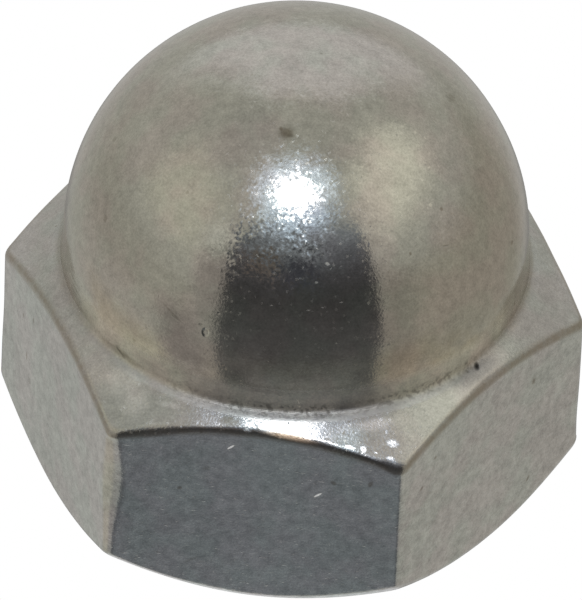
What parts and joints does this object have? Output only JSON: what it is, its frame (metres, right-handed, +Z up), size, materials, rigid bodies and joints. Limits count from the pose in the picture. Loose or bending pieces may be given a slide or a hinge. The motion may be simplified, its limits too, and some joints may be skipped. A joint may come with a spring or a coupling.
{
  "type": "cap nut",
  "caption": "Low-crown cap nut: a chamfered hexagon under a round closed crown, with a blind tapped hole in its flat seat.",
  "frame": {"origin": "centre of the flat seat that the nut stands on", "axes": "+Z up the thread axis to the top of the crown; two of the hexagon's corners on the X axis, flats square to Y"},
  "size_m": [0.0128, 0.0112, 0.011],
  "materials": {
    "nickel": "satin nickel plate, finely grained, with small nicks and dark specks"
  },
  "bodies": {
    "root": {"cap_nut": "nickel"}
  },
  "joints": []
}
